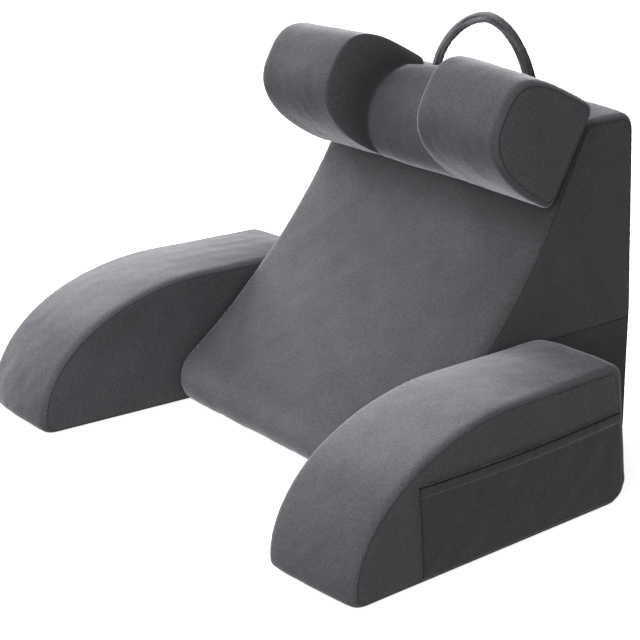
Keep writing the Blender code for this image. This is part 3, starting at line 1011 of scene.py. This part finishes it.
def make_neck_pillow():
    """Two fat lobes joined by a thin saddle, laid flat against the top of the slope."""
    edge_start = PILLOW_HALF_LENGTH - EDGE_RADIUS
    stations = np.concatenate((
        np.linspace(0.0, SADDLE_END, SADDLE_STATIONS, endpoint=False),
        np.linspace(SADDLE_END, LOBE_START, RISE_STATIONS, endpoint=False),
        np.linspace(LOBE_START, edge_start, LOBE_STATIONS, endpoint=False),
    ))
    half = [pillow_ring(x, 0.0, x) for x in stations]
    for degrees in EDGE_TURNS:
        turn = math.radians(degrees)
        out = edge_start + EDGE_RADIUS * math.sin(turn)
        half.append(pillow_ring(out, EDGE_RADIUS * (1 - math.cos(turn)), out))

    stand_off = PILLOW_BACK_CROWN + PILLOW_STAND_OFF
    up = direction(HIGH_SLOPE)
    off = direction(HIGH_SLOPE + math.pi / 2)
    at = SLOPE_FOOT + PILLOW_RISE * up + stand_off * off
    place = Matrix.Translation((0.0, at[0] - MIDDLE_Y, at[1])) @ Matrix.Rotation(HIGH_SLOPE, 4, "X")
    pillow, seams = mirrored_cushion(
        "neck_pillow_cushion", half, half[-1][:, 1:], lambda points: PILLOW_HALF_LENGTH, PILLOW_GRID, place
    )
    lines = stuff(pillow, seams, "neck_pillow", CROWN["pillow"])
    finish_cloth(pillow, lines, "neck_pillow", seed=51, painted_light_and_tone=pillow_shade_and_tone)
    finished(pillow, "pillow_velour", "neck_pillow")


# ---- Carry handle -----------------------------------------

HANDLE_STEPS = 150
HANDLE_SIDES = 28
FLARE_POWER = 3

# Wrinkles, deepest on the arch's inner edge, and the channel that the stitching pulls in.
# Places across the strap run from -1 on its inner edge to 1 on its outer one.
WRINKLE_HEIGHT = 0.00028
WRINKLE_SIZE = 0.007
WRINKLE_ROUND = 0.02
CHANNEL_DEPTH = 0.0007
CHANNEL_PLACE = -0.72
CHANNEL_REACH = 0.10
CHANNEL_LEAST_DEPTH = 0.1
SEWN_FOOT = 0.004

# Tones: streaks along the strap, patches, the channel, painted shade on the +X leg, and the darker inner
# edge.
STREAK_TONE = 0.32
STREAK_SIZE = 0.0042
STREAK_ALONG = 0.06
STREAK_ROUND = 0.008
HANDLE_PATCH_TONE = 0.05
HANDLE_PATCH_SIZE = 0.012
CHANNEL_TONE = 0.45
PLUS_X_LEG_SHADE = 0.50
LEG_FADE = (0.0, 0.07)
INNER_EDGE_TONE = 0.45
INNER_EDGE_FADE = (0.80, 0.95)
HANDLE_TONE = 1.40
DARKEST_TONE = 0.2


def handle_rings(around):
    """The strap's rings of points along its arch, from its +X foot to its -X one."""
    slant = 2 - 2 / HANDLE_ARCH_POWER
    spread = np.abs(np.cos(around)) ** HANDLE_CORNER_POWER + np.abs(np.sin(around)) ** HANDLE_CORNER_POWER
    reach = spread ** (-1 / HANDLE_CORNER_POWER)
    across = 0.5 * HANDLE_THICKNESS * reach * np.cos(around)
    rings = []
    for share in np.arange(HANDLE_STEPS + 1) / HANDLE_STEPS:
        cosine = math.cos(math.pi * share)
        sine = max(math.sin(math.pi * share), 0.0)
        side = math.copysign(1.0, cosine)
        along = HANDLE_HALF_SPAN * side * abs(cosine) ** (2 / HANDLE_ARCH_POWER)
        up = HANDLE_RISE * sine ** (2 / HANDLE_ARCH_POWER)
        centre = np.array((along + HANDLE_LEAN * sine ** 2, 0.0, up))
        outward = np.array((side * abs(cosine) ** slant / HANDLE_HALF_SPAN, 0.0, sine ** slant / HANDLE_RISE))
        outward /= np.linalg.norm(outward)
        width = HANDLE_WIDTH + (HANDLE_FAR_WIDTH - HANDLE_WIDTH) * share
        width += HANDLE_FOOT_FLARE * (1 - sine) ** FLARE_POWER
        out = 0.5 * width * reach * np.sin(around)
        rings.append(centre + out[:, None] * outward + across[:, None] * np.array((0.0, 1.0, 0.0)))
    return np.vstack(rings)


def make_handle():
    """A padded strap that stands in an arch on the wedge's top, sewn along its inner edge."""
    low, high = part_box("carry_handle")
    middle = 0.5 * (low.y + high.y)
    around = 2 * math.pi * np.arange(HANDLE_SIDES) / HANDLE_SIDES
    points = handle_rings(around) + np.array((0.0, middle, low.z))
    faces = tube_faces(HANDLE_STEPS + 1, HANDLE_SIDES)
    faces.append(tuple(range(HANDLE_SIDES)))
    faces.append(tuple(range(HANDLE_STEPS * HANDLE_SIDES, (HANDLE_STEPS + 1) * HANDLE_SIDES)))
    handle = solid("carry_handle_strap", points, faces)

    share = np.repeat(np.arange(HANDLE_STEPS + 1) / HANDLE_STEPS, HANDLE_SIDES)
    place = share * math.pi * HANDLE_HALF_SPAN
    outer = np.tile(np.sin(around), HANDLE_STEPS + 1)
    rear = np.tile(np.cos(around), HANDLE_STEPS + 1)
    flow = np.column_stack((place, WRINKLE_ROUND * outer, WRINKLE_ROUND * rear))
    wrinkle = WRINKLE_HEIGHT * waves(flow, WRINKLE_SIZE, 71) * (0.5 + 0.5 * np.clip(-outer, 0, 1))
    streak_flow = np.column_stack((STREAK_ALONG * place, STREAK_ROUND * outer, STREAK_ROUND * rear))
    streaks = STREAK_TONE * waves(streak_flow, STREAK_SIZE, 73)
    patches = HANDLE_PATCH_TONE * waves(flow, HANDLE_PATCH_SIZE, 72)
    channel = bell(outer, CHANNEL_PLACE, CHANNEL_REACH) * (np.abs(rear) > CHANNEL_LEAST_DEPTH)
    free = np.clip(np.minimum(place, place.max() - place) / SEWN_FOOT, 0.0, 1.0)
    lift = (wrinkle - CHANNEL_DEPTH * channel) * free
    write_points(handle.data, read_points(handle.data) + lift[:, None] * read_normals(handle.data))

    # Painted shade over the +X leg.
    leg_shade = 1 - PLUS_X_LEG_SHADE * ramp(points[:, 0], *LEG_FADE)
    inner_edge = 1 - INNER_EDGE_TONE * ramp(-outer, *INNER_EDGE_FADE)
    tone = HANDLE_TONE * (1 + patches + streaks) * (1 + CHANNEL_TONE * channel)
    shade_points(handle.data, (tone * leg_shade * inner_edge).clip(DARKEST_TONE))
    finished(handle, "handle_velour", "carry_handle")


# ---- Pocket -----------------------------------------------

# Rows run up the panel, closest across the hem's fold: start, end and count.
POCKET_ROW_RUNS = (
    (0.0, 0.06, 8),
    (0.06, HEM_FOLD - 0.03, 34),
    (HEM_FOLD - 0.03, HEM_FOLD + 0.02, 9),
    (HEM_FOLD + 0.02, 1.0, 9),
)
POCKET_COLUMNS = 150

# About how wide and high the panel is, to turn shares of it into distances from its edges.
POCKET_WIDTH = 0.33
POCKET_HEIGHT = 0.12

# The panel's slack, which is held down near its sewn edges.
HELD_REACH = 0.02
SLACK_POWER = 3
DRAPE_HEIGHT = 0.0004
DRAPE_SIZE = 0.05
FINE_DRAPE_HEIGHT = 0.00015
FINE_DRAPE_SIZE = 0.018

# Its thickness: thin at the sewn edges and the mouth's lip, a ridge under the hem's fold, which
# is strongest at the back, and a line of stitching in the hem. Heights are shares of the panel's.
SEWN_REACH = 0.0022
SEWN_THICKNESS = 0.45
LIP_HEIGHT = 0.008
LIP_LEAST = 0.05
FOLD_STEP = 0.006
STITCH_PLACE = 0.012
STITCH_WIDTH = 0.006
STITCH_DEPTH = 0.0006
RIDGE_PLACE = -0.006
RIDGE_WIDTH = 0.014
RIDGE_HEIGHT = 0.0005
RIDGE_FRONT_SHARE = 0.25

# Its tones, with a painted highlight on the hem's ridge, a painted shadow at the mouth's lip and painted
# shade along the sewn edges.
POCKET_TONE = 0.70
STITCH_TONE = 0.30
RIDGE_HIGHLIGHT = 1.2
POCKET_PATCH_TONE = 0.02
POCKET_PATCH_SIZE = 0.04
MOUTH_SHADOW = 0.85
MOUTH_FADE = (0.975, 0.995)
SEWN_EDGE_SHADE = 0.25
SEWN_FADE = (0.0006, 0.0030)


def pocket_rear(z):
    """Where the pocket's back edge is at height z: by the arm's back seam, round its low corner."""
    rear = POCKET_BACK - ARM_HEEL * (1 - z / ARM_HEIGHT)
    drop = np.clip(POCKET_FOOT + POCKET_CORNER_RADIUS - z, 0.0, None)
    return rear + POCKET_CORNER_RADIUS - np.sqrt(POCKET_CORNER_RADIUS ** 2 - drop ** 2)


def pocket_grid():
    """How far up and how far forward each of the panel's points is, and its (y, z)."""
    rows = np.unique(np.concatenate([np.linspace(*run) for run in POCKET_ROW_RUNS]).round(6))
    columns = np.linspace(0, 1, POCKET_COLUMNS + 1)
    up, along = (axis.ravel() for axis in np.meshgrid(rows, columns, indexing="ij"))
    front = POCKET_FRONT_FOOT + (POCKET_FRONT_TOP - POCKET_FRONT_FOOT) * up
    mouth = POCKET_MOUTH_BACK + (POCKET_MOUTH_FRONT - POCKET_MOUTH_BACK) * along
    mouth = mouth - POCKET_MOUTH_SAG * np.sin(math.pi * along)
    z = POCKET_FOOT + (mouth - POCKET_FOOT) * up
    rear = pocket_rear(z)
    y = -(rear + (front - rear) * along)
    return up, along, np.column_stack((y, z))


def panel_faces(layer, width):
    """Faces of a thin closed panel: two layers of rows of that width, and the walls between them."""
    inner = []
    for base in range(0, layer - width, width):
        for k in range(base, base + width - 1):
            inner.append((k, k + 1, k + 1 + width, k + width))
    outer = [tuple(layer + k for k in quad) for quad in inner]
    walls = [(k, k + 1) for base in (0, layer - width) for k in range(base, base + width - 1)]
    walls += [(k, k + width) for base in (0, width - 1) for k in range(base, layer - width, width)]
    return inner + outer + [(a, b, layer + b, layer + a) for a, b in walls]


def make_pocket():
    """A hemmed panel, sewn to the arm's outer side on three edges and open along its top."""
    up, along, flat = pocket_grid()
    past_fold = up - HEM_FOLD
    from_sides = np.minimum(along, 1 - along) * POCKET_WIDTH
    from_sewing = np.minimum(from_sides, up * POCKET_HEIGHT)

    rim = drawn_ring(arm_outline, ARM_DRAW, ARM_GRID, 1.0, EDGE_RADIUS)
    base = arm_half_width(flat) + panel_bulge(flat, rim)
    loose = np.clip(from_sewing / HELD_REACH, 0.0, 1.0)
    slack = POCKET_MOUTH_GAP * up ** SLACK_POWER * np.sin(math.pi * along)
    drape = DRAPE_HEIGHT * loose * (1 + waves(flat, DRAPE_SIZE, 31)).clip(0.0)
    drape += FINE_DRAPE_HEIGHT * loose * waves(flat, FINE_DRAPE_SIZE, 32)
    inner = base + POCKET_GAP + slack + drape.clip(0.0)

    hem = 1 / (1 + np.exp(-past_fold / FOLD_STEP))
    stitch_line = bell(past_fold, STITCH_PLACE, STITCH_WIDTH)
    towards_back = RIDGE_FRONT_SHARE + (1 - RIDGE_FRONT_SHARE) * (1 - along)
    ridge = bell(past_fold, RIDGE_PLACE, RIDGE_WIDTH) * towards_back
    into_lip = ((up - 1 + LIP_HEIGHT) / LIP_HEIGHT).clip(0.0, 1.0)
    lip = np.sqrt(np.clip(1 - into_lip ** 2, LIP_LEAST, 1.0))
    from_border = np.where(past_fold > 0, from_sides, from_sewing)
    border = np.sqrt(np.clip(from_border / SEWN_REACH, 0.0, 1.0))
    thickness = POCKET_THICKNESS + (HEM_THICKNESS - POCKET_THICKNESS) * hem
    thickness = (thickness - STITCH_DEPTH * stitch_line + RIDGE_HEIGHT * ridge) * lip
    thickness *= SEWN_THICKNESS + (1 - SEWN_THICKNESS) * border

    layers = np.column_stack((inner, flat)), np.column_stack((inner + thickness, flat))
    pocket = solid("side_pocket", np.vstack(layers), panel_faces(len(flat), POCKET_COLUMNS + 1))
    pocket.data.transform(arm_place(1))
    # Painted highlight on the hem's ridge, painted shadow at the mouth's lip and painted shade along the sewn
    # edges, with the stitching and random patches.
    shade = (1 - STITCH_TONE * stitch_line) * (1 + RIDGE_HIGHLIGHT * ridge)
    shade *= 1 + POCKET_PATCH_TONE * waves(flat, POCKET_PATCH_SIZE, 33)
    shade *= 1 - MOUTH_SHADOW * ramp(up, *MOUTH_FADE)
    shade *= SEWN_EDGE_SHADE + (1 - SEWN_EDGE_SHADE) * ramp(from_sewing, *SEWN_FADE)
    shade *= POCKET_TONE
    shade_points(pocket.data, np.concatenate((shade, shade)))
    finished(pocket, "pocket_velour", "pocket_panel")
    return pocket


# ---- Floor, light and camera ------------------------------

FLOOR_SIZE = 40.0
FLOOR_DROP = 0.0004
WHITE = (1.0, 1.0, 1.0, 1.0)
FLOOR_FINISH = {
    "Base Color": (0.93, 0.93, 0.93, 1.0),
    "Roughness": 0.9,
    "Specular IOR Level": 0.0,
    "Emission Color": WHITE,
    "Emission Strength": 0.82,
}
WORLD_LIGHT = {"Color": WHITE, "Strength": 0.211}
LIGHT_TARGET = Vector((0.0, 0.0, 0.15))
LIGHT_DISTANCE = 2.8
LIGHT_SIZE = 1.7
LIGHTS = (
    {"name": "low_key", "azimuth": -90, "elevation": 20, "power": 117},
    {"name": "high_key", "azimuth": -90, "elevation": 62, "power": 50},
    {"name": "low_front", "azimuth": 30, "elevation": 20, "power": 35},
    {"name": "high_front", "azimuth": 0, "elevation": 50, "power": 12},
)
CAMERA_AZIMUTH = 51.97
CAMERA_ELEVATION = 19.23
CAMERA_DISTANCE = 2.578
CAMERA_TARGET = Vector((-0.0270, -0.0115, 0.1591))
CAMERA_LENS = 113.5
SENSOR = 36.0


def aim(thing, target, azimuth, elevation, distance):
    """Put a light or camera at an azimuth and elevation, looking at the target.

    Angles are in degrees, and azimuth 0 looks along +Y.
    """
    turn = math.radians(azimuth)
    rise = math.radians(elevation)
    back = Vector((
        math.sin(turn) * math.cos(rise),
        -math.cos(turn) * math.cos(rise),
        math.sin(rise),
    ))
    thing.location = target + distance * back
    thing.rotation_mode = "QUATERNION"
    thing.rotation_quaternion = (-back).to_track_quat("-Z", "Y")
    bpy.context.scene.collection.objects.link(thing)


def make_floor():
    half = 0.5 * FLOOR_SIZE
    corners = [(x, y, -FLOOR_DROP) for x, y in ((-half, -half), (half, -half), (half, half), (-half, half))]
    mesh = bpy.data.meshes.new("floor")
    mesh.from_pydata(corners, [], [(0, 1, 2, 3)])
    floor = bpy.data.objects.new("floor", mesh)
    bpy.context.scene.collection.objects.link(floor)
    nodes = Nodes("pale_floor")
    set_inputs(nodes.shader, FLOOR_FINISH)
    mesh.materials.append(nodes.material)
    floor.visible_diffuse = False


def make_light(name, azimuth, elevation, power):
    """A square soft light aimed at the object's middle."""
    light = bpy.data.lights.new(name, "AREA")
    light.shape = "SQUARE"
    light.size = LIGHT_SIZE
    light.energy = power
    aim(bpy.data.objects.new(name, light), LIGHT_TARGET, azimuth, elevation, LIGHT_DISTANCE)


def make_world():
    world = bpy.data.worlds.new("studio")
    world.use_nodes = True
    set_inputs(world.node_tree.nodes["Background"], WORLD_LIGHT)
    bpy.context.scene.world = world


def make_camera():
    data = bpy.data.cameras.new("camera")
    data.lens = CAMERA_LENS
    data.sensor_width = SENSOR
    camera = bpy.data.objects.new("camera", data)
    aim(camera, CAMERA_TARGET, CAMERA_AZIMUTH, CAMERA_ELEVATION, CAMERA_DISTANCE)
    bpy.context.scene.camera = camera


make_wedge()
make_arm("arm_left", 1, seed=21)
make_arm("arm_right", -1, seed=41)
make_neck_pillow()
make_handle()
pocket = make_pocket()

make_floor()
make_world()
for light in LIGHTS:
    make_light(**light)
make_camera()
bpy.context.scene.view_settings.view_transform = "Standard"
